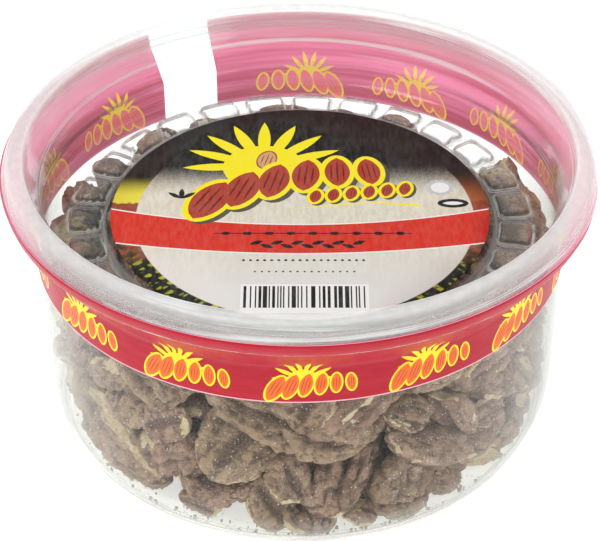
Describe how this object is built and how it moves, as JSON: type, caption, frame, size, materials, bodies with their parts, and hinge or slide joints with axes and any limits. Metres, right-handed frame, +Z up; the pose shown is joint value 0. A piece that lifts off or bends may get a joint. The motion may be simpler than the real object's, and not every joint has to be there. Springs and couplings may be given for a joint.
{
  "type": "lidded tub of shelled pecan halves",
  "caption": "Clear round plastic tub with a recessed press-on lid, a printed wrap seal and a round lid label, filled with shelled pecan halves.",
  "frame": {"origin": "middle of the tub's base, on the surface it stands on", "axes": "+Z up through the lid; -Y is the front, where the picture's camera stands; +X is to the right seen from there"},
  "size_m": [0.1204, 0.1206, 0.063],
  "materials": {
    "tub_plastic": "clear, thermoformed",
    "lid_plastic": "clear, thermoformed",
    "printed_film": "glossy crimson printed film with plain yellow and orange motifs",
    "printed_paper": "semi-gloss printed paper",
    "kernel": "matt, dry, lightly salted"
  },
  "bodies": {
    "root": {"tub": "tub_plastic", "lid": "lid_plastic", "side_label": "printed_film", "lid_label": "printed_paper", "pecan_half_01": "kernel", "pecan_half_02": "kernel", "pecan_half_03": "kernel", "pecan_half_04": "kernel", "pecan_half_05": "kernel", "pecan_half_06": "kernel", "pecan_half_07": "kernel", "pecan_half_08": "kernel", "pecan_half_09": "kernel", "pecan_half_10": "kernel", "pecan_half_11": "kernel", "pecan_half_12": "kernel", "pecan_half_13": "kernel", "pecan_half_14": "kernel", "pecan_half_15": "kernel", "pecan_half_16": "kernel", "pecan_half_17": "kernel", "pecan_half_18": "kernel", "pecan_half_19": "kernel", "pecan_half_20": "kernel", "pecan_half_21": "kernel", "pecan_half_22": "kernel", "pecan_half_23": "kernel", "pecan_half_24": "kernel", "pecan_half_25": "kernel", "pecan_half_26": "kernel", "pecan_half_27": "kernel", "pecan_half_28": "kernel", "pecan_half_29": "kernel", "pecan_half_30": "kernel", "pecan_half_31": "kernel", "pecan_half_32": "kernel", "pecan_half_33": "kernel", "pecan_half_34": "kernel", "pecan_half_35": "kernel", "pecan_half_36": "kernel", "pecan_half_37": "kernel", "pecan_half_38": "kernel", "pecan_half_39": "kernel", "pecan_half_40": "kernel", "pecan_half_41": "kernel", "pecan_half_42": "kernel", "pecan_half_43": "kernel", "pecan_half_44": "kernel", "pecan_half_45": "kernel", "pecan_half_46": "kernel", "pecan_half_47": "kernel", "pecan_half_48": "kernel", "pecan_piece_01": "kernel", "pecan_piece_02": "kernel", "pecan_piece_03": "kernel", "pecan_piece_04": "kernel", "pecan_piece_05": "kernel", "pecan_piece_06": "kernel"}
  },
  "joints": []
}
